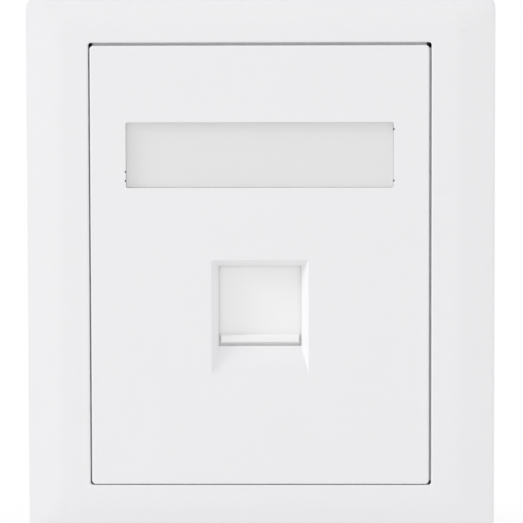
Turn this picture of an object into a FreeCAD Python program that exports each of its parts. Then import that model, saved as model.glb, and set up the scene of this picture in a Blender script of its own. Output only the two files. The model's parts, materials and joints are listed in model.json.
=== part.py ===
import FreeCAD, Part
import math
import os

from FreeCAD import Vector

# Keystone faceplate for a wall box. Millimetres.
# X runs right across the front, Z up, Y into the wall. The wall is the plane Y = 0, so the front faces -Y.
# Depths are written as heights above the wall: height h lies at Y = -h.
# The origin is on the wall, midway between the two wall screws.

# ---- driving dimensions: the plate ----
PLATE_WIDTH = 86.2
PLATE_HEIGHT = 100.0
PLATE_CORNER = 3.0
FACE = 9.5              # height of the flat front, frame and panel alike
RIM_DROP = 0.6          # how far the sloping border falls from the crease to the rim
SIDE_DRAFT = 0.1        # the side walls lean in by this much from the wall to the rim
CREASE_SIDE = 6.6       # rim to crease, left and right
CREASE_END = 5.9        # rim to crease, top and bottom
CREASE_CORNER = 1.6
RIM_ROUND = 0.6
FRAME_WALL = 2.0
FLANGE_WALL = 1.5       # the wall round the frame's opening, which stands on the mounting frame
REST = 1.0              # thickness of the straight ledges inside the opening, on which the panel's lip rests
RIB = 1.0

# ---- driving dimensions: the centre panel ----
PANEL_WIDTH = 61.95
PANEL_HEIGHT = 80.55
PANEL_CORNER = 0.7
OPENING_CORNER = 0.5    # the frame's opening is a little sharper in its corners
PANEL_GAP = 0.33        # the dark line between panel and frame, on average
PANEL_PLAY_X = 0.07     # the panel lies this far left of the middle of its opening
PANEL_PLAY_Z = 0.19     # and this far below it
EDGE_ROUND = 0.35       # of the frame's opening
PANEL_ROUND = 0.3       # of the panel's edge
SKIN = 2.2
SKIRT_WALL = 1.4
LIP_OVER = 0.8          # the panel's lip stands out from its skirt by this much
LIP_THICK = 1.15
REST_GAP = 0.2          # between the lip and the frame's ledges
GUSSET = 1.6            # reach of the small gussets along the skin; they are twice as deep
REST_CORNER = 0.8       # the ledges stop this far short of the opening's corners

# ---- driving dimensions: the label ----
LABEL_WIDTH = 48.9
LABEL_HEIGHT = 11.95
LABEL_CENTRE = 20.3     # above the plate's centre
LABEL_SINK = 0.8        # the clear cover lies this far below the panel's face
COVER = 1.15
CARD = 0.25
LABEL_FLOOR = 1.0
LABEL_CORNER = 0.3
COVER_GAP = 0.06
COVER_LUG = 0.5         # the cover is held by a lug at each end
COVER_LUG_HALF = 1.5
COVER_LUG_THICK = 0.4
COVER_BEVEL = 0.12
PRY_NOTCH = 0.22        # radius of the small notches beside the cover
NOTCH_NEAR = 3.05       # how far they lie from the label's centre line
NOTCH_FAR = 4.7

# ---- driving dimensions: the port and its shutter ----
WINDOW_WIDTH = 15.2
WINDOW_HEIGHT = 14.75
WINDOW_CENTRE = -7.48
BEVEL_SIDE = 1.3        # width of the bevel at the sides of the port
BEVEL_TOP = 1.2         # and at its top
BEVEL_DEPTH = 1.5
RAMP = 5.35             # length of the thumb ramp under the port
SHUTTER = 1.2
SHUTTER_LAP = 1.25      # the shutter reaches this far behind the panel at each side
SHUTTER_HEAD = 0.9      # and this far above the window
SHUTTER_FOOT = 0.5      # and this far below it
RUN_GAP = 0.15          # running clearance of the shutter, front and back
SIDE_GAP = 0.2          # and at its sides
LIP_HEIGHT = 1.45
LIP_RAISE = 0.6         # the lip's lower edge above the window's
LIP_REACH = 1.0
LIP_END_GAP = 0.4
LIP_ROUND = 0.35
STOP_GAP = 0.25         # left between the lip and the window's top edge at full travel

# ---- driving dimensions: springs ----
SPRING_OUTER = 1.3      # radius
WIRE = 0.3              # diameter
WIRE_SIDES = 4          # the wire's section is drawn as a polygon
TURNS = 8
SPRING_TOP = 10.0       # height of the spring's upper stop above the plate's centre
GROOVE = 1.5            # radius of the groove that the spring lies in
EAR_HEIGHT = 1.85
SPIGOT = 0.6            # radius of the pegs inside the spring's ends
SPIGOT_LENGTH = 1.4
RAIL = 0.75             # guide rail beside the shutter's upper half

# ---- driving dimensions: carrier and keystone bay ----
CARRIER = 2.6
CARRIER_MARGIN = 1.1    # carrier beyond the spring grooves
BAY_WIDTH = 15.0
BAY_HEIGHT = 16.5
BAY_DEPTH = 10.0
BAY_WALL = 1.8
LATCH_RISE = 3.6        # room above the bay for the jack's latch
LUG_DROP = 1.8          # room below the bay for the jack's fixed lug
CLIP_START = 4.0        # depth at which both rooms begin
LEDGE = 2.2             # thickness of the rear ledges that catch the jack
LATCH_CATCH = 2.0       # the upper ledge's overhang
WRAP = 2.2              # carrier below the bay

# ---- driving dimensions: carrier screws ----
SCREW_OUT = 17.6        # from the plate's centre line
SCREW_RADIUS = 0.95
PILOT_GAP = 0.05
SCREW_LENGTH = 4.8
HEAD_RADIUS = 2.2
HEAD_HEIGHT = 1.2
BOSS_RADIUS = 2.6
BOSS_HEIGHT = 3.0
EAR_THICK = 1.4
EAR_RADIUS = 3.0
EAR_HOLE_GAP = 0.25
CROSS_WIDTH = 0.6
CROSS_LENGTH = 2.4
CROSS_DEPTH = 0.8

# ---- driving dimensions: mounting frame ----
MOUNT = 2.6
MOUNT_GAP = 0.4         # to the trim frame's outer wall
MOUNT_CORNER = 2.0
BOX_OPENING_WIDTH = 47.0
BOX_OPENING_HEIGHT = 64.0
WALL_SCREW_SPACING = 60.3
SLOT_WIDTH = 4.2
SLOT_LENGTH = 7.0
HEAD_ROOM_HALF = 5.5    # room beside each wall screw's head
HEAD_ROOM = 4.0         # height of that room above the mounting frame
POCKET_DEPTH = 1.2
POCKET_COUNT = 5
POCKET_RIB = 1.4

# ---- driving dimensions: snap tongues ----
TONGUE_WIDTH = 7.0
TONGUE_TIP = 0.5        # height of the tongue's tip above the wall
HOOK = 0.6
HOOK_TOP = 1.2
HOOK_LAND = 0.25
LEDGE_GAP = 0.2
SLIT_GAP = 0.25
PANEL_TONGUE_OUT = 18.0
FRAME_TONGUE_OUT = 28.0

# ---- sizes that follow ----
half_w, half_h = PLATE_WIDTH / 2, PLATE_HEIGHT / 2
panel_x, panel_z = PANEL_WIDTH / 2, PANEL_HEIGHT / 2
skirt_x, skirt_z = panel_x - LIP_OVER, panel_z - LIP_OVER
lip_back = FACE - LIP_THICK
opening_x, opening_z = panel_x + PANEL_GAP, panel_z + PANEL_GAP
flange_x, flange_z = opening_x + FLANGE_WALL, opening_z + FLANGE_WALL
skin_back = FACE - SKIN
label_x = LABEL_WIDTH / 2
label_low, label_high = LABEL_CENTRE - LABEL_HEIGHT / 2, LABEL_CENTRE + LABEL_HEIGHT / 2
cover_top = FACE - LABEL_SINK
cover_back = cover_top - COVER
label_bed = cover_back - CARD
label_back = label_bed - LABEL_FLOOR
window_x = WINDOW_WIDTH / 2
window_low, window_high = WINDOW_CENTRE - WINDOW_HEIGHT / 2, WINDOW_CENTRE + WINDOW_HEIGHT / 2
shutter_front = skin_back - RUN_GAP
shutter_back = shutter_front - SHUTTER
carrier_front = shutter_back - RUN_GAP
carrier_back = carrier_front - CARRIER
shutter_x = window_x + SHUTTER_LAP
shutter_low, shutter_high = window_low - SHUTTER_FOOT, window_high + SHUTTER_HEAD
lip_low = window_low + LIP_RAISE
lip_high = lip_low + LIP_HEIGHT
travel = window_high - STOP_GAP - lip_high
rail_x = shutter_x + SIDE_GAP
spring_x = rail_x + RAIL + SIDE_GAP + SPRING_OUTER
carrier_x = spring_x + GROOVE + CARRIER_MARGIN
ear_top = shutter_low + EAR_HEIGHT
rail_low = ear_top + travel + SIDE_GAP
carrier_high = shutter_high + travel + SIDE_GAP
bay_x = BAY_WIDTH / 2
bay_low, bay_high = WINDOW_CENTRE - BAY_HEIGHT / 2, WINDOW_CENTRE + BAY_HEIGHT / 2
bay_back = carrier_front - BAY_DEPTH
carrier_low = bay_low - WRAP
boss_end = skin_back - BOSS_HEIGHT
ear_back = boss_end - EAR_THICK
mount_x, mount_z = half_w - FRAME_WALL - MOUNT_GAP, half_h - FRAME_WALL - MOUNT_GAP


# ---- building blocks ----
def slab(x, z, h):
    """A block from three (low, high) ranges: across, up, and height above the wall."""
    return Part.makeBox(x[1] - x[0], h[1] - h[0], z[1] - z[0], Vector(x[0], -h[1], z[0]))


def outline(x, z, radius, height):
    """A rounded rectangle, parallel to the wall at the given height."""
    corners = [
        (x[1] - radius, z[1] - radius, 0),
        (x[0] + radius, z[1] - radius, 90),
        (x[0] + radius, z[0] + radius, 180),
        (x[1] - radius, z[0] + radius, 270),
    ]

    def rim(corner, turn):
        angle = math.radians(corner[2] + turn)
        return Vector(corner[0] + radius * math.cos(angle), -height, corner[1] + radius * math.sin(angle))

    edges = []
    for corner, following in zip(corners, corners[1:] + corners[:1]):
        edges.append(Part.Arc(rim(corner, 0), rim(corner, 45), rim(corner, 90)).toShape())
        edges.append(Part.LineSegment(rim(corner, 90), rim(following, 0)).toShape())
    return Part.Wire(edges)


def rounded_slab(x, z, radius, h):
    """A slab whose four corners, seen from the front, are rounded."""
    face = Part.Face(outline(x, z, radius, h[0]))
    return face.extrude(Vector(0, h[0] - h[1], 0))


def both(half):
    return (-half, half)


def rod(x, z, radius, h):
    """A cylinder that stands square to the wall."""
    return Part.makeCylinder(radius, h[1] - h[0], Vector(x, -h[1], z), Vector(0, 1, 0))


def upright(x, height, radius, z):
    """A cylinder along Z."""
    return Part.makeCylinder(radius, z[1] - z[0], Vector(x, -height, z[0]), Vector(0, 0, 1))


def prism_along_x(points, x):
    """A solid with one section, given as (height, z) points, all along x."""
    wire = Part.makePolygon([Vector(x[0], -h, z) for h, z in points + points[:1]])
    return Part.Face(wire).extrude(Vector(x[1] - x[0], 0, 0))


def prism_along_z(points, z):
    """A solid with one section, given as (x, height) points, all along z."""
    wire = Part.makePolygon([Vector(x, -h, z[0]) for x, h in points + points[:1]])
    return Part.Face(wire).extrude(Vector(0, 0, z[1] - z[0]))


def mirrored(shape):
    """The shape's twin on the other side of the centre line."""
    return shape.mirror(Vector(0, 0, 0), Vector(1, 0, 0))


def pair(shape):
    """The shape and its twin, right and left."""
    return [shape, mirrored(shape)]


def above_and_below(shape):
    """The shape and its twin on the other side of the plate's middle."""
    return [shape, shape.mirror(Vector(0, 0, 0), Vector(0, 0, 1))]


def joined(shapes):
    return shapes[0].multiFuse(shapes[1:]).removeSplitter()


def edges_where(shape, chosen):
    """The edges whose ends and middle all pass the test."""
    edges = []
    for edge in shape.Edges:
        middle = edge.valueAt((edge.FirstParameter + edge.LastParameter) / 2)
        if all(chosen(point) for point in [middle] + [v.Point for v in edge.Vertexes]):
            edges.append(edge)
    return edges


def rounded(shape, radius, chosen):
    return shape.makeFillet(radius, edges_where(shape, chosen))


def bevelled(shape, width, chosen):
    return shape.makeChamfer(width, edges_where(shape, chosen))


def turned(points, x, z):
    """A solid of revolution about an axis square to the wall, from (radius, height) points."""
    wire = Part.makePolygon([Vector(x + radius, -h, z) for radius, h in points + points[:1]])
    return Part.Face(wire).revolve(Vector(x, 0, z), Vector(0, 1, 0), 360)


def on_plane(height):
    return lambda point: abs(point.y + height) < 1e-4


# ---- snap tongues, shared by the trim frame, the panel and the mounting frame ----
QUARTER_TURN = {"right": 0, "top": -90, "left": 180, "bottom": 90}


def to_side(shape, side):
    """Turns a shape that was made at the right-hand side to the right, top, left or bottom."""
    moved = shape.copy()
    moved.rotate(Vector(0, 0, 0), Vector(0, 1, 0), QUARTER_TURN[side])
    return moved


def tongue(outer, wall, along):
    """A tongue that carries a wall on through the mounting frame, with a hook on its outer side."""
    width = (along - TONGUE_WIDTH / 2, along + TONGUE_WIDTH / 2)
    stem = slab((outer - wall, outer), width, (TONGUE_TIP, MOUNT + FLANGE_WALL))
    tip = outer + HOOK
    hook = [(outer, HOOK_TOP), (tip, HOOK_TOP), (tip, HOOK_TOP - HOOK_LAND), (outer, TONGUE_TIP)]
    return stem.fuse(prism_along_z(hook, width))


def tongue_room(outer, wall, along):
    """The slit that a tongue is pushed through, and the pocket behind it that the hook springs into."""
    half = TONGUE_WIDTH / 2 + SLIT_GAP
    slit = slab((outer - wall - HOOK, outer + SLIT_GAP), (along - half, along + half), (0, MOUNT))
    ledge = HOOK_TOP + LEDGE_GAP
    pocket = slab((outer, outer + HOOK + SLIT_GAP), (along - half, along + half), (0, ledge))
    return slit.fuse(pocket)


def tongues(make, outer, wall, along, sides):
    return [to_side(make(outer, wall, place), side) for side in sides for place in (-along, along)]


def panel_tongues(make):
    return tongues(make, skirt_z, SKIRT_WALL, PANEL_TONGUE_OUT, ("top", "bottom"))


def frame_tongues(make):
    return tongues(make, flange_x, FLANGE_WALL, FRAME_TONGUE_OUT, ("left", "right"))


def head_rooms():
    """Room for the heads of the wall screws, cut from the walls that pass over them."""
    reach = WALL_SCREW_SPACING / 2 + SLOT_LENGTH
    room = slab((reach - 2 * SLOT_LENGTH, reach), both(HEAD_ROOM_HALF), (MOUNT, MOUNT + HEAD_ROOM))
    return pair(room)


# ---- trim frame ----
def frame_form(inset):
    """The frame's outer form, with leaning sides and a sloping top, or that form drawn in by a wall."""
    rim = FACE - RIM_DROP - inset
    foot_x, foot_z = half_w - inset, half_h - inset
    rim_x, rim_z = foot_x - SIDE_DRAFT, foot_z - SIDE_DRAFT
    crease_x, crease_z = half_w - CREASE_SIDE, half_h - CREASE_END
    radius = max(PLATE_CORNER - inset, CREASE_CORNER / 2)
    foot = outline(both(foot_x), both(foot_z), radius, 0)
    shoulder = outline(both(rim_x), both(rim_z), radius, rim)
    crease = outline(both(crease_x), both(crease_z), CREASE_CORNER, FACE - inset)
    side = Part.makeLoft([foot, shoulder], True, True)
    top = Part.makeLoft([shoulder, crease], True, True)
    return side.fuse(top).removeSplitter()


def round_opening(point):
    """Whether a point lies on the front of the frame's flange, where only the edges of the opening do."""
    return -point.y > FACE - RIM_DROP and abs(point.x) <= flange_x and abs(point.z) <= flange_z


def trim_frame():
    body = rounded(frame_form(0), RIM_ROUND, on_plane(FACE - RIM_DROP))
    flange = slab(both(flange_x), both(flange_z), (MOUNT, FACE))
    hollow = frame_form(FRAME_WALL).cut(flange)
    body = body.cut(hollow)
    body = body.cut(slab(both(flange_x), both(flange_z), (0, MOUNT)))
    across = (PANEL_PLAY_X - opening_x, PANEL_PLAY_X + opening_x)
    up = (PANEL_PLAY_Z - opening_z, PANEL_PLAY_Z + opening_z)
    body = body.cut(rounded_slab(across, up, OPENING_CORNER, (0, FACE)))
    body = rounded(body, EDGE_ROUND, round_opening)
    body = joined([body] + frame_ribs() + frame_ledges() + frame_tongues(tongue))
    return body.cut(Part.makeCompound(head_rooms()))


def frame_ledges():
    """Straight ledges inside the opening, which the panel's lip rests on. The corners stay open."""
    h = (lip_back - REST_GAP - REST, lip_back - REST_GAP)
    upright_ledge = slab((skirt_x + SIDE_GAP, opening_x + FLANGE_WALL / 2), both(opening_z - REST_CORNER), h)
    level_ledge = slab(both(opening_x - REST_CORNER), (skirt_z + SIDE_GAP, opening_z + FLANGE_WALL / 2), h)
    return pair(upright_ledge) + above_and_below(level_ledge)


def frame_ribs():
    """Thin webs across the frame's hollow, between the flange and the outer wall."""
    low = MOUNT + MOUNT_GAP
    roof = FACE - RIM_DROP - FRAME_WALL
    ribs = []
    reach_x = half_w - FRAME_WALL - SIDE_DRAFT / 2
    reach_z = half_h - FRAME_WALL - SIDE_DRAFT / 2
    for step in (-1.5, -0.5, 0.5, 1.5):
        z = step * PANEL_HEIGHT / 4
        web = slab((flange_x - RIB, reach_x), (z - RIB / 2, z + RIB / 2), (low, roof))
        ribs += pair(web)
    for step in (-1, 0, 1):
        x = step * PANEL_WIDTH / 3
        web = slab((x - RIB / 2, x + RIB / 2), (flange_z - RIB, reach_z), (low, roof))
        ribs += above_and_below(web)
    return ribs


# ---- centre panel ----
def port_form():
    """The port: a bevelled mouth that runs out into the thumb ramp, and the square window at its bottom."""
    mouth = outline(
        both(window_x + BEVEL_SIDE), (window_low - RAMP, window_high + BEVEL_TOP), LABEL_CORNER, FACE
    )
    throat = outline(both(window_x), (window_low, window_high), LABEL_CORNER / 2, FACE - BEVEL_DEPTH)
    funnel = Part.makeLoft([mouth, throat], True, True)
    window = rounded_slab(
        both(window_x), (window_low, window_high), LABEL_CORNER / 2, (skin_back, FACE - BEVEL_DEPTH)
    )
    return funnel.fuse(window)


def label_recess():
    """The recess of the label, the pockets for the cover's lugs and the notches that it is prised out by."""
    recess = rounded_slab(both(label_x), (label_low, label_high), LABEL_CORNER, (label_bed, FACE))
    lug = COVER_LUG_HALF + COVER_GAP
    pockets = pair(
        slab(
            (label_x - COVER_GAP, label_x + COVER_LUG),
            (LABEL_CENTRE - lug, LABEL_CENTRE + lug),
            (cover_back, cover_back + COVER_LUG_THICK + COVER_GAP),
        )
    )
    places = ((-1, -NOTCH_NEAR), (-1, -NOTCH_FAR), (1, -NOTCH_FAR), (1, NOTCH_FAR))
    notches = [
        rod(side * label_x, LABEL_CENTRE + rise, PRY_NOTCH, (cover_back, FACE)) for side, rise in places
    ]
    return [recess] + pockets + notches


def centre_panel():
    plate = rounded_slab(both(panel_x), both(panel_z), PANEL_CORNER, (lip_back, FACE))
    plate = rounded(plate, PANEL_ROUND, on_plane(FACE))
    skirt = slab(both(skirt_x), both(skirt_z), (MOUNT, lip_back))
    inner_x, inner_z = skirt_x - SKIRT_WALL, skirt_z - SKIRT_WALL
    hollow = slab(both(inner_x), both(inner_z), (MOUNT, skin_back))
    body = plate.fuse(skirt).cut(hollow)
    bed = (label_low - SKIRT_WALL / 2, label_high + SKIRT_WALL / 2)
    tray = slab(both(label_x + SKIRT_WALL), bed, (label_back, skin_back))
    boss = rod(SCREW_OUT, WINDOW_CENTRE, BOSS_RADIUS, (boss_end, skin_back))
    body = joined([body, tray] + pair(boss) + panel_gussets() + panel_tongues(tongue))
    pilot_end = ear_back + SCREW_LENGTH + PILOT_GAP
    pilot = rod(SCREW_OUT, WINDOW_CENTRE, SCREW_RADIUS + PILOT_GAP, (boss_end, pilot_end))
    cuts = [port_form()] + label_recess() + pair(pilot) + head_rooms()
    return body.cut(Part.makeCompound(cuts))


def panel_gussets():
    """Small triangular gussets that stiffen the skirt against the skin."""
    inner_x, inner_z = skirt_x - SKIRT_WALL, skirt_z - SKIRT_WALL
    gussets = []
    for step in (-3, -2, -1, 1, 2, 3):
        z = step * PANEL_HEIGHT / 8
        points = [(inner_x, skin_back), (inner_x, skin_back - 2 * GUSSET), (inner_x - GUSSET, skin_back)]
        gussets += pair(prism_along_z(points, (z - RIB / 2, z + RIB / 2)))
    for step in (-1, 0, 1):
        x = step * PANEL_WIDTH / 4
        points = [(skin_back, inner_z), (skin_back - 2 * GUSSET, inner_z), (skin_back, inner_z - GUSSET)]
        gussets += above_and_below(prism_along_x(points, (x - RIB / 2, x + RIB / 2)))
    return gussets


# ---- label ----
def label_window():
    x = label_x - COVER_GAP
    z = (label_low + COVER_GAP, label_high - COVER_GAP)
    cover = rounded_slab(both(x), z, LABEL_CORNER, (cover_back, cover_top))
    cover = bevelled(cover, COVER_BEVEL, on_plane(cover_top))
    lug = slab(
        (x - COVER_LUG, label_x + COVER_LUG - COVER_GAP),
        (LABEL_CENTRE - COVER_LUG_HALF, LABEL_CENTRE + COVER_LUG_HALF),
        (cover_back, cover_back + COVER_LUG_THICK),
    )
    return joined([cover] + pair(lug))


def label_card():
    x = label_x - 2 * COVER_GAP
    z = (label_low + 2 * COVER_GAP, label_high - 2 * COVER_GAP)
    return slab(both(x), z, (label_bed, cover_back))


# ---- shutter and springs ----
def dust_shutter():
    plate = slab(both(shutter_x), (shutter_low, shutter_high), (shutter_back, shutter_front))
    lip_x = window_x - LIP_END_GAP
    lip = slab(both(lip_x), (lip_low, lip_high), (shutter_front, shutter_front + LIP_REACH))
    lip = rounded(lip, LIP_ROUND, on_plane(shutter_front + LIP_REACH))
    ear = slab((shutter_x, spring_x), (shutter_low, ear_top), (shutter_back, shutter_front))
    foot = upright(spring_x, carrier_front, SPRING_OUTER, (shutter_low, ear_top))
    peg = upright(spring_x, carrier_front, SPIGOT, (ear_top, ear_top + SPIGOT_LENGTH))
    return joined([plate, lip] + pair(ear) + pair(foot) + pair(peg))


def shutter_spring():
    """The right-hand coil, from the shutter's ear up to its stop."""
    radius = SPRING_OUTER - WIRE / 2
    low, high = ear_top + WIRE / 2, SPRING_TOP - WIRE / 2
    helix = Part.makeHelix((high - low) / TURNS, high - low, radius)
    corners = []
    for side in range(WIRE_SIDES + 1):
        angle = 2 * math.pi * side / WIRE_SIDES
        corners.append(Vector(radius + WIRE / 2 * math.cos(angle), 0, WIRE / 2 * math.sin(angle)))
    coil = Part.Wire(helix.Edges).makePipeShell([Part.makePolygon(corners)], True, True)
    coil.translate(Vector(spring_x, -carrier_front, low))
    return coil


# ---- jack carrier ----
def spring_grooves():
    """Half-round grooves for the springs and for the feet of the shutter's ears."""
    return pair(upright(spring_x, carrier_front, GROOVE, (shutter_low - SIDE_GAP / 2, SPRING_TOP)))


def carrier_front_parts():
    """What stands on the carrier's front: side walls, guide rails, spring stops and their pegs."""
    wall_x = spring_x + GROOVE + SIDE_GAP
    wall = slab((wall_x, carrier_x), (carrier_low, carrier_high), (carrier_front, skin_back))
    foot_wall = slab(both(carrier_x), (carrier_low, bay_low - SIDE_GAP), (carrier_front, skin_back))
    near_skin = skin_back - RUN_GAP / 2
    rail = slab((rail_x, rail_x + RAIL), (rail_low, carrier_high), (carrier_front, near_skin))
    stop = slab((rail_x, wall_x), (SPRING_TOP, carrier_high), (carrier_front, near_skin))
    peg = upright(spring_x, carrier_front, SPIGOT, (SPRING_TOP - SPIGOT_LENGTH, SPRING_TOP))
    return pair(wall) + [foot_wall] + pair(rail) + pair(stop), pair(peg)


def bay_body():
    """The tube of the keystone bay, with the rooms above and below for the jack's latch and lug."""
    up = (bay_low - LUG_DROP - BAY_WALL, bay_high + LATCH_RISE + BAY_WALL)
    deep = (bay_back, carrier_front - CARRIER / 2)
    return rounded_slab(both(bay_x + BAY_WALL), up, RIB / 2, deep)


def bay_hollow():
    through = slab(both(bay_x), (bay_low, bay_high), (bay_back, carrier_front))
    start = carrier_front - CLIP_START
    ledge = bay_back + LEDGE
    rooms = slab(both(bay_x), (bay_low - LUG_DROP, bay_high + LATCH_RISE), (ledge, start))
    latch_way = slab(both(bay_x), (bay_high, bay_high + LATCH_RISE - LATCH_CATCH), (bay_back, start))
    return [through, rooms, latch_way]


def carrier_ears():
    """Two ears that lie on the ends of the panel's bosses, with holes for the screws."""
    z = (WINDOW_CENTRE - EAR_RADIUS, WINDOW_CENTRE + EAR_RADIUS)
    arm = slab((carrier_x - RIB, SCREW_OUT), z, (ear_back, boss_end))
    end = rod(SCREW_OUT, WINDOW_CENTRE, EAR_RADIUS, (ear_back, boss_end))
    return pair(arm) + pair(end)


def jack_carrier():
    plate = slab(both(carrier_x), (carrier_low, carrier_high), (carrier_back, carrier_front))
    standing, pegs = carrier_front_parts()
    body = joined([plate, bay_body()] + standing + carrier_ears())
    hole = rod(SCREW_OUT, WINDOW_CENTRE, SCREW_RADIUS + EAR_HOLE_GAP, (ear_back, boss_end))
    body = body.cut(Part.makeCompound(bay_hollow() + pair(hole)))
    for groove in spring_grooves():
        body = body.cut(groove)
    return joined([body] + pegs)


def carrier_screw():
    """The right-hand screw: pan head at the rear, driven forwards into the panel's boss."""
    top, crown = ear_back - HEAD_HEIGHT, HEAD_HEIGHT / 3
    tip = ear_back + SCREW_LENGTH
    profile = [
        (0, top),
        (HEAD_RADIUS - crown, top),
        (HEAD_RADIUS, top + crown),
        (HEAD_RADIUS, ear_back),
        (SCREW_RADIUS, ear_back),
        (SCREW_RADIUS, tip - 2 * SCREW_RADIUS),
        (SCREW_RADIUS / 3, tip),
        (0, tip),
    ]
    screw = turned(profile, SCREW_OUT, WINDOW_CENTRE)
    h = (ear_back - HEAD_HEIGHT, ear_back - HEAD_HEIGHT + CROSS_DEPTH)
    long, short = CROSS_LENGTH / 2, CROSS_WIDTH / 2
    cross = [
        slab((SCREW_OUT - a, SCREW_OUT + a), (WINDOW_CENTRE - b, WINDOW_CENTRE + b), h)
        for a, b in ((long, short), (short, long))
    ]
    return screw.cut(cross[0].fuse(cross[1]))


# ---- mounting frame ----
def wall_slots():
    """Two slots along X for the wall screws, so that the plate can be levelled."""
    reach = (SLOT_LENGTH - SLOT_WIDTH) / 2
    x = WALL_SCREW_SPACING / 2
    middle = slab((x - reach, x + reach), both(SLOT_WIDTH / 2), (0, MOUNT))
    ends = [rod(x + side * reach, 0, SLOT_WIDTH / 2, (0, MOUNT)) for side in (-1, 1)]
    slot = joined([middle] + ends)
    return pair(slot)


def weight_pockets():
    """Rows of shallow pockets in the front of the wide bands above and below the opening."""
    low = BOX_OPENING_HEIGHT / 2 + POCKET_RIB
    high = skirt_z - SKIRT_WALL - HOOK - POCKET_RIB
    pitch = (BOX_OPENING_WIDTH + POCKET_RIB) / POCKET_COUNT
    pockets = []
    for count in range(POCKET_COUNT):
        x = -BOX_OPENING_WIDTH / 2 + count * pitch
        pocket = slab((x, x + pitch - POCKET_RIB), (low, high), (MOUNT - POCKET_DEPTH, MOUNT))
        pockets += above_and_below(pocket)
    return pockets


def mounting_frame():
    plate = rounded_slab(both(mount_x), both(mount_z), MOUNT_CORNER, (0, MOUNT))
    opening = rounded_slab(
        both(BOX_OPENING_WIDTH / 2), both(BOX_OPENING_HEIGHT / 2), MOUNT_CORNER, (0, MOUNT)
    )
    cuts = [opening] + wall_slots() + weight_pockets()
    cuts += panel_tongues(tongue_room) + frame_tongues(tongue_room)
    return plate.cut(Part.makeCompound(cuts))


# ---- files ----
def main():
    os.makedirs("parts", exist_ok=True)
    spring, screw = shutter_spring(), carrier_screw()
    pieces = {
        "trim_frame": trim_frame(),
        "centre_panel": centre_panel(),
        "label_window": label_window(),
        "label_card": label_card(),
        "dust_shutter": dust_shutter(),
        "shutter_spring_right": spring,
        "shutter_spring_left": mirrored(spring),
        "jack_carrier": jack_carrier(),
        "carrier_screw_right": screw,
        "carrier_screw_left": mirrored(screw),
        "mounting_frame": mounting_frame(),
    }
    for name, shape in pieces.items():
        box = shape.BoundBox
        spans = ((box.XMin, box.XMax), (box.YMin, box.YMax), (box.ZMin, box.ZMax))
        reach = ", ".join(f"{axis} {low:.2f} to {high:.2f}" for axis, (low, high) in zip("xyz", spans))
        print(f"{name}: {len(shape.Solids)} solid, valid {shape.isValid()}, {shape.Volume:.1f} mm3, {reach}")
        shape.exportStep(f"parts/{name}.step")
    print(f"travel {travel:.2f}, spring {SPRING_TOP - ear_top:.2f} long, carrier top {carrier_high:.2f}")


main()
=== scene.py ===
# %% [markdown]
# # A keystone faceplate, dressed and lit
#
# The plate is a stack of thin mouldings: a trim frame, a centre panel, a frosted label cover, a sliding
# shutter and, behind them, the carrier of the jack and the frame that is screwed to the wall box.
# The construction is loaded ready-made, in metres. This lesson gives each piece its soft edges and its
# finish, winds the springs, and lights the whole.

# %% Load the construction
import json
import math

import bmesh
import bpy
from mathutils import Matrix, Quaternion, Vector

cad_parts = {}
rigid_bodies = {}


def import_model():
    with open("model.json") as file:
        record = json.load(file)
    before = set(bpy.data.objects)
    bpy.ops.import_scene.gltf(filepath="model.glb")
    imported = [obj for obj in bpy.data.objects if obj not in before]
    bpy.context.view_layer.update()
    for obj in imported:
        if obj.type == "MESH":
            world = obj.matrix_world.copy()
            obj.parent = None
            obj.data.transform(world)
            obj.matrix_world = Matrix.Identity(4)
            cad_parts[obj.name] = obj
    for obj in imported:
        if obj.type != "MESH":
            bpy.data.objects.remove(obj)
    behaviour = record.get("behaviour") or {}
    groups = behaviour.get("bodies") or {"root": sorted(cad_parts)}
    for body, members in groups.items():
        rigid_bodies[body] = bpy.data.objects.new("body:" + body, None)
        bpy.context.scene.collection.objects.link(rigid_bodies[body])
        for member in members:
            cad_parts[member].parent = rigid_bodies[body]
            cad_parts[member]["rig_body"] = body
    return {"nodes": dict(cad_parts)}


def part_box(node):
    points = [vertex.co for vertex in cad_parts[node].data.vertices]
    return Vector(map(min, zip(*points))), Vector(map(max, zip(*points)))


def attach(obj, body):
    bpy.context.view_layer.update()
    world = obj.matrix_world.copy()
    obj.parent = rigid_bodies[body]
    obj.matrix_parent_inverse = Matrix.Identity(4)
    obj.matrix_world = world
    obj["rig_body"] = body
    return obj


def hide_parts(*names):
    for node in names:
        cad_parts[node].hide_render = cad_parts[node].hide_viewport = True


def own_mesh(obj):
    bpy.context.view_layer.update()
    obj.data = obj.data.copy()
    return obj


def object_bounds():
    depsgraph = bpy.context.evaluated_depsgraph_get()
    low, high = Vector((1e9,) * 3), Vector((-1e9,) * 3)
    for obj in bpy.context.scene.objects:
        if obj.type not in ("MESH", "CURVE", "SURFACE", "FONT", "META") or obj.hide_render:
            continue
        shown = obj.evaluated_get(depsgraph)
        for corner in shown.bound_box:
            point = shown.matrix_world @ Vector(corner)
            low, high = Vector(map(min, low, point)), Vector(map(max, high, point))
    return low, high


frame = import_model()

cad_low, cad_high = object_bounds()
MM = 0.001
print("construction:", len(frame["nodes"]), "pieces,", [round(v / MM, 1) for v in cad_high - cad_low], "mm")

# %% [markdown]
# ## Shader maths that reads like maths
#
# A node tree is easiest to follow as a formula. A small class wraps a socket and overloads the signs, so
# `0.4 + 0.1 * grain` adds its Math nodes by itself. Every other node comes from one method, `node`, which
# takes the node's type, its settings and what goes into its sockets.


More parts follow.
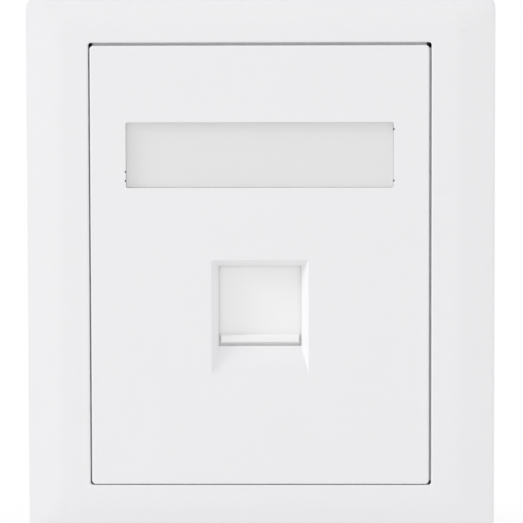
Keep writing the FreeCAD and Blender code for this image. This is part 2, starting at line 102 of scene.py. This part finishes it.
# %% A value in a node tree
class Value:
    """A number that flows through a node tree."""

    def __init__(self, tree, socket):
        self.tree = tree
        self.socket = socket

    def maths(self, operation, first, second):
        return self.tree.node("ShaderNodeMath", {"operation": operation}, {0: first, 1: second})

    def __add__(self, other):
        return self.maths("ADD", self, other)

    def __radd__(self, other):
        return self.maths("ADD", other, self)

    def __mul__(self, other):
        return self.maths("MULTIPLY", self, other)

    def __rmul__(self, other):
        return self.maths("MULTIPLY", other, self)


print("node values understand + and *")


# %% The node tree itself
class Shading:
    """The node tree of a material or of the world."""

    def __init__(self, owner):
        owner.use_nodes = True
        self.nodes = owner.node_tree.nodes
        self.links = owner.node_tree.links

    def feed(self, socket, value):
        if isinstance(value, Value):
            self.links.new(value.socket, socket)
        else:
            socket.default_value = value

    def node(self, kind, settings=None, inputs=None, output=0):
        made = self.nodes.new(kind)
        for name, value in (settings or {}).items():
            setattr(made, name, value)
        for name, value in (inputs or {}).items():
            self.feed(made.inputs[name], value)
        return Value(self, made.outputs[output])

    def switch(self, factor, first, second, end):
        """Shows one shader where the factor is 0 and another where it is 1."""
        mixed = self.node("ShaderNodeMixShader", {}, {0: factor, 1: first, 2: second})
        self.links.new(mixed.socket, self.nodes[end].inputs["Surface"])


print("a node tree's methods:", [name for name in vars(Shading) if not name.startswith("_")])


# %% A material
class Finish(Shading):
    """A material, with its Principled shader ready to be fed."""

    def __init__(self, name):
        self.material = bpy.data.materials.new(name)
        super().__init__(self.material)
        self.shader = self.nodes["Principled BSDF"]

    def set(self, **sockets):
        for name, value in sockets.items():
            self.feed(self.shader.inputs[name.replace("_", " ")], value)

    def place(self):
        """Where a point lies on the piece, in metres."""
        return self.node("ShaderNodeTexCoord", output="Object")

    def noise(self, size, detail=2.0, roughness=0.5):
        """Soft random grain whose blotches are about `size` metres across, from 0 to 1."""
        inputs = {"Vector": self.place(), "Scale": 1 / size, "Detail": detail, "Roughness": roughness}
        return self.node("ShaderNodeTexNoise", {}, inputs)

    def blend(self, factor, first, second):
        """A colour between two others."""
        mix = self.nodes.new("ShaderNodeMix")
        mix.data_type = "RGBA"
        for socket, value in ((mix.inputs[0], factor), (mix.inputs[6], first), (mix.inputs[7], second)):
            self.feed(socket, value)
        return Value(self, mix.outputs[2])

    def bump(self, height, depth, over=None):
        """A normal from a height of 0 to 1, which stands for `depth` metres."""
        inputs = {"Height": height, "Distance": depth, "Strength": 1.0}
        if over is not None:
            inputs["Normal"] = over
        return self.node("ShaderNodeBump", {}, inputs)


print("a material's methods:", [name for name in vars(Finish) if not name.startswith("_")])

# %% [markdown]
# ## Moulded plastic
#
# All the white pieces are injection moulded. The mould of a visible face is spark-eroded to a fine, even
# satin grain of about a tenth of a millimetre, and thick places behind a face make it sink by a few
# hundredths. One function makes this finish, and takes the colour, the gloss and the depth of the grain,
# so that each moulding can have its own. The tone wanders by one or two percent, because no batch of
# pigment is perfectly even.

# %% Satin plastic
GRAIN = 0.12 * MM        # size of the mould's satin grain
CLOUD = 18 * MM          # size of the slow changes of tone
FADED = 0.985            # tone at the darkest of them
SINK = 14 * MM           # size of the sunken places
SINK_DEPTH = 0.02 * MM
GLOSS_RANGE = 0.08       # how much the roughness changes from grain to grain


def moulded(name, colour, roughness, grain_depth):
    finish = Finish(name)
    cloud = finish.noise(CLOUD, detail=3.0)
    grain = finish.noise(GRAIN, detail=1.0)
    faded = [channel * FADED for channel in colour]
    waves = finish.bump(finish.noise(SINK, detail=0.0), SINK_DEPTH)
    finish.set(
        Base_Color=finish.blend(cloud, (*colour, 1), (*faded, 1)),
        Roughness=roughness - GLOSS_RANGE / 2 + GLOSS_RANGE * grain,
        Normal=finish.bump(grain, grain_depth, over=waves),
        IOR=1.5,
    )
    return finish.material


FRONT_WHITE = (0.845, 0.842, 0.856)
frame_white = moulded("frame white", FRONT_WHITE, roughness=0.42, grain_depth=0.004 * MM)
panel_white = moulded("panel white", FRONT_WHITE, roughness=0.40, grain_depth=0.003 * MM)
shutter_white = moulded("shutter white", (0.895, 0.895, 0.895), roughness=0.36, grain_depth=0.002 * MM)
carrier_white = moulded("carrier white", (0.80, 0.80, 0.79), roughness=0.50, grain_depth=0.006 * MM)
mount_white = moulded("mounting white", (0.78, 0.78, 0.77), roughness=0.52, grain_depth=0.008 * MM)
whites = (frame_white, panel_white, shutter_white, carrier_white, mount_white)
print("moulded finishes:", [white.name for white in whites])

# %% [markdown]
# ## Label cover and card
#
# The cover of the label is a polycarbonate slip with a frosted back, so that it hides the blank card and
# looks like a calm, even field until something is written behind it. True refraction would leave the card
# in shadow, so the frosting is a high alpha instead, and a little of the card still shows through. A Layer
# Weight node closes the alpha towards grazing angles, where such a slip turns into a dull mirror. The card
# has fine fibres.


# %% Frosted plastic and paper
def frosted_plastic():
    finish = Finish("frosted cover")
    frost = finish.noise(3 * MM, detail=4.0)
    grazing = finish.node("ShaderNodeLayerWeight", {}, {"Blend": 0.3}, "Facing")
    finish.set(
        Base_Color=finish.blend(frost, (0.842, 0.842, 0.842, 1), (0.832, 0.833, 0.834, 1)),
        Roughness=0.22 + 0.03 * frost,
        Alpha=0.9 + 0.1 * (grazing * grazing),
        IOR=1.58,
        Normal=finish.bump(finish.noise(9 * MM, detail=0.0), 0.01 * MM),
    )
    return finish.material


def card_paper():
    finish = Finish("card")
    fibres = finish.noise(0.25 * MM, detail=5.0, roughness=0.7)
    finish.set(
        Base_Color=finish.blend(fibres, (0.86, 0.86, 0.86, 1), (0.83, 0.83, 0.83, 1)),
        Roughness=0.85,
        Normal=finish.bump(fibres, 0.01 * MM),
    )
    return finish.material


frosted_cover = frosted_plastic()
card = card_paper()
print("label finishes:", frosted_cover.name, "and", card.name)

# %% [markdown]
# ## Wire and zinc
#
# The springs are drawn wire, and the screws are zinc plated, with a faint blue bloom. Both are bare metal
# that is scuffed a little by its tools, so one function mixes a clean colour with a duller stain where a
# noise says so, and roughens the metal there too.

# %% Two metals
SCUFF_ROUGHNESS = 0.12
SCUFF_DEPTH = 0.002 * MM


def bare_metal(name, colour, stain, roughness, grain):
    finish = Finish(name)
    scuff = finish.noise(grain, detail=4.0)
    finish.set(
        Base_Color=finish.blend(scuff, (*colour, 1), (*stain, 1)),
        Metallic=1.0,
        Roughness=roughness + SCUFF_ROUGHNESS * scuff,
        Normal=finish.bump(scuff, SCUFF_DEPTH),
    )
    return finish.material


spring_steel = bare_metal(
    "spring steel", colour=(0.62, 0.61, 0.60), stain=(0.50, 0.49, 0.48), roughness=0.22, grain=0.2 * MM
)
zinc = bare_metal(
    "zinc", colour=(0.70, 0.72, 0.74), stain=(0.58, 0.62, 0.68), roughness=0.28, grain=0.5 * MM
)
print("materials:", len(bpy.data.materials))

# %% [markdown]
# ## Soft edges
#
# No moulding leaves its tool with a knife edge. The construction's meshes are loose triangles, so each
# piece starts from a merged copy, its flat faces are joined up again, and its sharp corners are given a
# small round edge. The bevel tool narrows all the edges of one call to what its tightest spot allows, so
# the corners are first sorted into runs of edges that touch, and each run is rounded by itself. The trim
# frame also has a soft crease where its flat band turns into the sloping border. That wants a far wider
# round than the others, and is left as wide as asked.

# %% What counts as a corner
FLAT = math.radians(0.6)    # faces that bend by less than this are joined into one
CORNER = math.radians(40)   # edges that bend by more than this are rounded
FOLD = math.radians(160)    # but not those of a thin wedge, which has no room for a round
SHARP = math.radians(50)    # and what still bends by more than this is shaded as an edge
MERGE = 0.002 * MM          # points closer than this are one
SPECK = 0.0005 * MM         # edges shorter than this are dropped
CREASE_SOFTNESS = 0.9 * MM
CREASE_STEPS = 6
EDGE_STEPS = 2
print("edges sharper than", round(math.degrees(CORNER)), "degrees are rounded")


# %% Measure, sort and round edges
def bend(edge):
    """The angle between an edge's two faces."""
    return edge.calc_face_angle(0) if len(edge.link_faces) == 2 else 0.0


def runs(edges):
    """Sorts edges into runs that touch each other."""
    left = set(edges)
    for edge in edges:
        if edge in left:
            left.remove(edge)
            run = [edge]
            for member in run:
                for vert in member.verts:
                    touching = [other for other in vert.link_edges if other in left]
                    left.difference_update(touching)
                    run.extend(touching)
            yield run


def soften(mesh, edges, width, steps, narrow=True):
    """Rounds these edges of an open mesh, and narrows the round where there is no room for it."""
    bmesh.ops.bevel(
        mesh,
        geom=edges,
        offset=width,
        offset_type="OFFSET",
        segments=steps,
        profile=0.5,
        affect="EDGES",
        clamp_overlap=narrow,
    )


print("the rounds have", EDGE_STEPS, "steps, and the crease", CREASE_STEPS)


# %% From mesh to piece
def finished(name, data, material, slot, body, *nodes):
    """Puts a finished mesh in the scene as a piece that rides on a body."""
    data.materials.clear()
    data.materials.append(material)
    piece = bpy.data.objects.new(name, data)
    bpy.context.scene.collection.objects.link(piece)
    weights = piece.modifiers.new("flat faces stay flat", "WEIGHTED_NORMAL")
    weights.keep_sharp = True
    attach(piece, body)
    if nodes:
        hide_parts(*nodes)
    print(f"{name}: {len(data.polygons)} faces")
    return piece


def dressed(name, node, material, slot, edge, crease=None, fit=None):
    """A piece with rounded edges that stands for a construction piece and rides where it does."""
    mesh = bmesh.new()
    mesh.from_mesh(frame["nodes"][node].data)
    bmesh.ops.remove_doubles(mesh, verts=mesh.verts, dist=MERGE)
    if fit:
        fit(mesh, *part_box(node))
    bmesh.ops.dissolve_limit(mesh, angle_limit=FLAT, verts=mesh.verts, edges=mesh.edges)
    if crease:
        creased = [line for line in mesh.edges if crease(line)]
        soften(mesh, creased, CREASE_SOFTNESS, CREASE_STEPS, narrow=False)
    corners = list(runs([line for line in mesh.edges if CORNER < bend(line) < FOLD]))
    for run in corners:
        soften(mesh, run, edge, EDGE_STEPS)
    bmesh.ops.dissolve_degenerate(mesh, dist=SPECK, edges=mesh.edges)
    for face in mesh.faces:
        face.smooth = True
    for line in mesh.edges:
        line.smooth = bend(line) <= SHARP
    data = bpy.data.meshes.new(name)
    mesh.to_mesh(data)
    mesh.free()
    return finished(name, data, material, slot, frame["nodes"][node]["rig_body"], node)


# %% [markdown]
# ## The visible mouldings
#
# The crease of the trim frame is found by its angle and place: it is the only gently bent edge that lies
# in the plane of the front and well away from the opening.
#
# The label cover is a slip that is pressed into its recess. It fills the recess to two hundredths of a
# millimetre, and its front edge is nearly square, so that only a faint line runs round the label. Its back
# is drawn in by a hair, so that it never lies in the same plane as the card.

# %% Where the crease lies
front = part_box("trim_frame")[0].y
panel_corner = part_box("centre_panel")[1]
RIM = 2 * MM                # the opening's rounded rim ends within this of the panel
GENTLE = math.radians(3)


def in_band(vert):
    """Whether a point lies on the front and clear of the opening's round rim."""
    beside = abs(vert.co.x) - panel_corner.x
    above = abs(vert.co.z) - panel_corner.z
    return abs(vert.co.y - front) < MERGE and max(beside, above) > RIM


def front_crease(edge):
    return GENTLE < bend(edge) < CORNER and all(in_band(vert) for vert in edge.verts)


print("the front lies", round(-front / MM, 2), "mm above the wall")

# %% How the cover fills its recess
SLIP_WIDER = 0.04 * MM      # on each side
SLIP_SQUARER = 0.10 * MM    # and this much more at the front edge
SLIP_THINNER = 0.04 * MM


def pressed_in(mesh, low, high):
    """Spreads a slip towards the sides of its recess."""
    middle = (low + high) / 2
    for vert in mesh.verts:
        spread = SLIP_WIDER + (SLIP_SQUARER if vert.co.y < low.y + MERGE else 0)
        vert.co.x += math.copysign(spread, vert.co.x - middle.x)
        vert.co.z += math.copysign(spread, vert.co.z - middle.z)
        if vert.co.y > high.y - MERGE:
            vert.co.y -= SLIP_THINNER


print("the cover is", round(2 * SLIP_WIDER / MM, 2), "mm wider than its blank")

# %% Trim frame, panel, shutter and label
dressed("frame_moulding", "trim_frame", frame_white, "frame_white", edge=0.10 * MM, crease=front_crease)
dressed("panel_moulding", "centre_panel", panel_white, "panel_white", edge=0.08 * MM)
dressed("shutter_door", "dust_shutter", shutter_white, "shutter_white", edge=0.08 * MM)
dressed("label_cover", "label_window", frosted_cover, "clear_cover", edge=0.03 * MM, fit=pressed_in)
dressed("label_strip", "label_card", card, "card", edge=0.02 * MM)

# %% [markdown]
# ## The hidden mouldings
#
# The carrier holds the jack and guides the shutter, and the mounting frame is screwed to the wall box.
# Neither is seen in use, so their moulds are coarser. The same function dresses them, with wider rounds,
# and their finish has a deeper grain and less gloss.

# %% Carrier and mounting frame
dressed("carrier_moulding", "jack_carrier", carrier_white, "carrier_white", edge=0.12 * MM)
dressed("mounting_moulding", "mounting_frame", mount_white, "mount_grey", edge=0.15 * MM)

# %% [markdown]
# ## Coils by Geometry Nodes
#
# A spring is a wire that follows a spiral, which is what Geometry Nodes are best at. The Spiral node
# gives an even coil. A real compression spring closes up at its ends, so three Map Range nodes lay the
# height out again: slow turns at the start, the open turns, and slow turns at the end. Its length, radii
# and turns are named inputs, so the same tree also makes the coils in the screws.


# %% A Geometry Nodes tree
class Tree:
    """A Geometry Nodes tree with named inputs."""

    def __init__(self, name, inputs):
        self.tree = bpy.data.node_groups.new(name, "GeometryNodeTree")
        self.inputs = {}
        for label, kind in inputs.items():
            socket = self.tree.interface.new_socket(label, in_out="INPUT", socket_type=kind)
            self.inputs[label] = socket.identifier
        self.tree.interface.new_socket("Geometry", in_out="OUTPUT", socket_type="NodeSocketGeometry")
        self.entry = self.tree.nodes.new("NodeGroupInput")

    def node(self, kind, settings=None, inputs=None):
        made = self.tree.nodes.new(kind)
        for name, value in (settings or {}).items():
            setattr(made, name, value)
        for name, value in (inputs or {}).items():
            if isinstance(value, bpy.types.NodeSocket):
                self.tree.links.new(value, made.inputs[name])
            else:
                made.inputs[name].default_value = value
        return made

    def math(self, operation, first, second):
        return self.node("ShaderNodeMath", {"operation": operation}, {0: first, 1: second}).outputs[0]


COIL_INPUTS = {
    "Radius": "NodeSocketFloat",
    "Wire Radius": "NodeSocketFloat",
    "Length": "NodeSocketFloat",
    "Turns": "NodeSocketFloat",
    "Closed Turns": "NodeSocketFloat",
    "Wire Sides": "NodeSocketInt",
    "Material": "NodeSocketMaterial",
}
coil = Tree("coil", COIL_INPUTS)
size = coil.entry.outputs
print("coil inputs:", list(coil.inputs))

# %% The even spiral
POINTS_PER_TURN = 28
spiral = coil.node(
    "GeometryNodeCurveSpiral",
    {},
    {
        "Resolution": POINTS_PER_TURN,
        "Rotations": size["Turns"],
        "Start Radius": size["Radius"],
        "End Radius": size["Radius"],
        "Height": 1.0,
    },
)
spot = coil.node("ShaderNodeSeparateXYZ", {}, {0: coil.node("GeometryNodeInputPosition").outputs[0]})
print("points on each turn:", POINTS_PER_TURN)

# %% Close its ends
share = coil.math("DIVIDE", size["Closed Turns"], size["Turns"])
rest = coil.math("SUBTRACT", 1.0, share)
closed = coil.math("MULTIPLY", coil.math("MULTIPLY", size["Wire Radius"], 2.0), size["Closed Turns"])
open_length = coil.math("SUBTRACT", size["Length"], coil.math("MULTIPLY", closed, 2.0))


def stretch(low, high, rise):
    """The height gained over one part of the spiral."""
    part = {"Value": spot.outputs["Z"], "From Min": low, "From Max": high, "To Min": 0.0, "To Max": rise}
    return coil.node("ShaderNodeMapRange", {"clamp": True}, part).outputs["Result"]


height = coil.math("ADD", stretch(0.0, share, closed), stretch(share, rest, open_length))
height = coil.math("ADD", height, stretch(rest, 1.0, closed))
point = coil.node("ShaderNodeCombineXYZ", {}, {"X": spot.outputs["X"], "Y": spot.outputs["Y"], "Z": height})
laid = coil.node(
    "GeometryNodeSetPosition", {}, {"Geometry": spiral.outputs[0], "Position": point.outputs[0]}
)
print("coil tree so far:", len(coil.tree.nodes), "nodes")

# %% Give it a wire
section = coil.node(
    "GeometryNodeCurvePrimitiveCircle",
    {"mode": "RADIUS"},
    {"Resolution": size["Wire Sides"], "Radius": size["Wire Radius"]},
)
wire = coil.node(
    "GeometryNodeCurveToMesh",
    {},
    {"Curve": laid.outputs[0], "Profile Curve": section.outputs[0], "Fill Caps": True},
)
real = coil.node("GeometryNodeRealizeInstances", {}, {"Geometry": wire.outputs[0]})
painted = coil.node(
    "GeometryNodeSetMaterial", {}, {"Geometry": real.outputs[0], "Material": size["Material"]}
)
way_out = coil.tree.nodes.new("NodeGroupOutput")
coil.tree.links.new(painted.outputs[0], way_out.inputs[0])
print("whole coil tree:", len(coil.tree.nodes), "nodes")

# %% [markdown]
# ## From tree to plain mesh
#
# A modifier's inputs are set by the socket's identifier, before the object is first evaluated. The
# evaluated object then becomes a plain mesh, so the piece needs no tree of its own.


# %% Wind a coil into a mesh
def wound(material, **sizes):
    """A coil that stands on the origin, along Z, as mesh data."""
    reel = bpy.data.objects.new("winding", bpy.data.meshes.new("winding"))
    bpy.context.scene.collection.objects.link(reel)
    winding = reel.modifiers.new("coil", "NODES")
    winding.node_group = coil.tree
    winding[coil.inputs["Material"]] = material
    for label, value in sizes.items():
        winding[coil.inputs[label.replace("_", " ")]] = value
    bpy.context.view_layer.update()
    evaluated = reel.evaluated_get(bpy.context.evaluated_depsgraph_get())
    data = bpy.data.meshes.new_from_object(evaluated)
    bpy.data.objects.remove(reel)
    print("wound", sizes["Turns"], "turns with", len(data.vertices), "points")
    return data


# %% [markdown] ## Springs  Two small compression springs of drawn wire push the shutter shut. They fill
# the construction's coils from end to end, with a round wire and more turns.

# %% Two springs
BODY = "housing"
WIRE = 0.15 * MM            # radius of the wire
SPRING_COIL = {"Turns": 12.0, "Closed_Turns": 1.5, "Wire_Sides": 10}


def spring(side):
    node = f"shutter_spring_{side}"
    low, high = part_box(node)
    length = high.z - low.z
    middle = (low + high) / 2
    radius = (high.x - low.x) / 2 - WIRE
    data = wound(spring_steel, Radius=radius, Wire_Radius=WIRE, Length=length - 2 * WIRE, **SPRING_COIL)
    for vert in data.vertices:
        vert.co += Vector((middle.x, middle.y, low.z + WIRE))
    for face in data.polygons:
        face.use_smooth = True
    piece = finished(f"coil_spring_{side}", data, spring_steel, "spring_steel", BODY, node)
    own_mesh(piece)


for side in ("left", "right"):
    spring(side)

# %% [markdown]
# ## Screws
#
# A self-tapping screw for plastic has a coarse thread. The turned blank is the construction's own. The
# thread could be cut into it, but that would leave a tangle of small faces, so it is a coil from the same
# tree, with a three-sided wire. As it is sized here, the wire's ridge reaches the shank's own radius and no
# further. So the coil is buried in the shank, and the screws look plain. A thread that shows would need a
# wider coil.

# %% Two screws, and the coils buried in their shanks
THREAD = 0.16 * MM          # radius of the three-sided wire
SHANK = 0.95 * MM           # radius of the shank, which is also the coil's outer radius
HEAD = 1.2 * MM             # height
THREADED = 0.55             # share of the shank's length that the coil climbs
SCREW_COIL = {"Turns": 4.0, "Closed_Turns": 0.5, "Wire_Sides": 3}


def screw(side):
    node = f"carrier_screw_{side}"
    low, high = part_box(node)
    middle = (low + high) / 2
    dressed(f"screw_{side}", node, zinc, "zinc_steel", edge=0.06 * MM)
    length = high.y - low.y - HEAD
    data = wound(zinc, Radius=SHANK - THREAD, Wire_Radius=THREAD, Length=length * THREADED, **SCREW_COIL)
    for vert in data.vertices:
        along = vert.co.z
        vert.co = Vector((middle.x + vert.co.x, high.y - HEAD - THREAD - along, middle.z + vert.co.y))
    finished(f"screw_thread_{side}", data, zinc, "zinc_steel", BODY)


for side in ("left", "right"):
    screw(side)

# %% [markdown]
# ## Floor
#
# The plate stands just above a plain white floor, in front of a plain white background. A bright world
# would make both of them white, but it would also wash out the plate. So rays from the camera and mirror
# rays see pure white, and the light that falls on the plate comes from a dimmer world and the lamp. Close
# to the plate the floor keeps a little of its own shading, so that a faint shadow grounds the plate.


# %% Which rays see plain white
def background_rays(shading):
    """1 for rays that should see the white background, and 0 for those that carry light."""
    path = shading.node("ShaderNodeLightPath").socket.node
    seen = Value(shading, path.outputs["Is Camera Ray"])
    return seen.maths("MAXIMUM", seen, Value(shading, path.outputs["Is Glossy Ray"]))


# %% The floor
FLOOR_GAP = 0.3 * MM        # below the plate's lower rim
FLOOR_SIZE = 0.6            # from its middle to its sides
FLOOR_WHITE = 0.82          # share of pure white close to the plate
SHADOW_REACH = 0.055        # how far from the middle that share holds
SHADOW_END = 0.090          # and where it has become pure white
floor_data = bpy.data.meshes.new("floor")
level = cad_low.z - FLOOR_GAP
square = ((-1, -1), (1, -1), (1, 1), (-1, 1))
floor_corners = [(x * FLOOR_SIZE, y * FLOOR_SIZE, level) for x, y in square]
floor_data.from_pydata(floor_corners, [], [(0, 1, 2, 3)])
floor = bpy.data.objects.new("floor", floor_data)
bpy.context.scene.collection.objects.link(floor)
print("floor at", round(level / MM, 1), "mm")

# %% The floor's finish
floor_finish = Finish("floor white")
floor_finish.set(Base_Color=(0.9, 0.9, 0.9, 1), Roughness=0.9)
from_middle = floor_finish.node(
    "ShaderNodeVectorMath", {"operation": "LENGTH"}, {0: floor_finish.place()}, "Value"
)
fade = floor_finish.node(
    "ShaderNodeMapRange",
    {"interpolation_type": "SMOOTHSTEP"},
    {
        "Value": from_middle,
        "From Min": SHADOW_REACH,
        "From Max": SHADOW_END,
        "To Min": FLOOR_WHITE,
        "To Max": 1.0,
    },
)
glow = floor_finish.node("ShaderNodeEmission")
paper = Value(floor_finish, floor_finish.shader.outputs[0])
floor_finish.switch(fade * background_rays(floor_finish), paper, glow, "Material Output")
floor_data.materials.append(floor_finish.material)
print("the floor's shadow fades out at", round(SHADOW_END / MM), "mm")

# %% [markdown]
# ## A studio made of light
#
# A small white object looks best in a light tent, and here the world is the tent. It is brighter to the
# left and the right than in front, which lifts the side bevels of the port, and a little brighter above
# and to the left than below. A soft lamp far out to the left glances over the face, so that the bevels
# which look towards it turn almost white, and the thin gaps get their shadows.

# %% The world
AMBIENT = 0.745
SIDES = 0.65                # how much brighter the far left and right are
LEAN = 0.09                 # how much brighter the bright side is than the middle
BRIGHT_SIDE = Vector((-0.4, 0.0, 0.92))
world = bpy.data.worlds.new("studio")
bpy.context.scene.world = world
studio = Shading(world)
direction = studio.node("ShaderNodeTexCoord")
sideways = studio.node("ShaderNodeSeparateXYZ", {}, {0: direction}, "X")
lean = studio.node(
    "ShaderNodeVectorMath", {"operation": "DOT_PRODUCT"}, {0: direction, 1: BRIGHT_SIDE}, "Value"
)
strength = AMBIENT * (1 + SIDES * (sideways * sideways) + LEAN * lean)
light = studio.node("ShaderNodeBackground", {}, {"Color": (1, 1, 1, 1), "Strength": strength})
white = studio.node("ShaderNodeBackground", {}, {"Color": (1, 1, 1, 1), "Strength": 1.0})
studio.switch(background_rays(studio), light, white, "World Output")
print("light from the front:", AMBIENT, "and from the sides:", round(AMBIENT * (1 + SIDES), 2))


# %% The lamp
def lamp(name, place, size, watts):
    """A square soft lamp that points at the middle of the plate."""
    data = bpy.data.lights.new(name, "AREA")
    data.shape = "SQUARE"
    data.size = size
    data.energy = watts
    made = bpy.data.objects.new(name, data)
    made.location = place
    made.rotation_euler = (-Vector(place)).to_track_quat("-Z", "Y").to_euler()
    bpy.context.scene.collection.objects.link(made)
    print(name, "lamp:", watts, "W at", round(Vector(place).length, 2), "m")


lamp("key", place=(-1.25, -0.33, 0.80), size=0.32, watts=7.4)

# %% [markdown]
# ## Camera
#
# A long lens keeps the plate's sides parallel, as they look from a few steps away. It stands a little
# above the plate's middle and a little to its right, and is turned by a fraction of a degree. The plate is
# taller than the view, so its upper and lower rims lie just outside it.

# %% The camera
DISTANCE = 0.60
VIEW_WIDTH = 95.7 * MM
ELEVATION = math.radians(4.5)
AZIMUTH = math.radians(1.0)
ROLL = math.radians(0.14)
aim = Vector((0.31 * MM, front, 0.82 * MM))
level_share = math.cos(ELEVATION)
away = Vector((math.sin(AZIMUTH) * level_share, -math.cos(AZIMUTH) * level_share, math.sin(ELEVATION)))
camera_data = bpy.data.cameras.new("camera")
camera_data.lens = camera_data.sensor_width * DISTANCE / VIEW_WIDTH
camera = bpy.data.objects.new("camera", camera_data)
camera.location = aim + away * DISTANCE
camera.rotation_mode = "QUATERNION"
camera.rotation_quaternion = Quaternion(away, -ROLL) @ (-away).to_track_quat("-Z", "Y")
bpy.context.scene.collection.objects.link(camera)
bpy.context.scene.camera = camera
bpy.context.scene.view_settings.view_transform = "Standard"
print("lens:", round(camera_data.lens), "mm")

# %% [markdown]
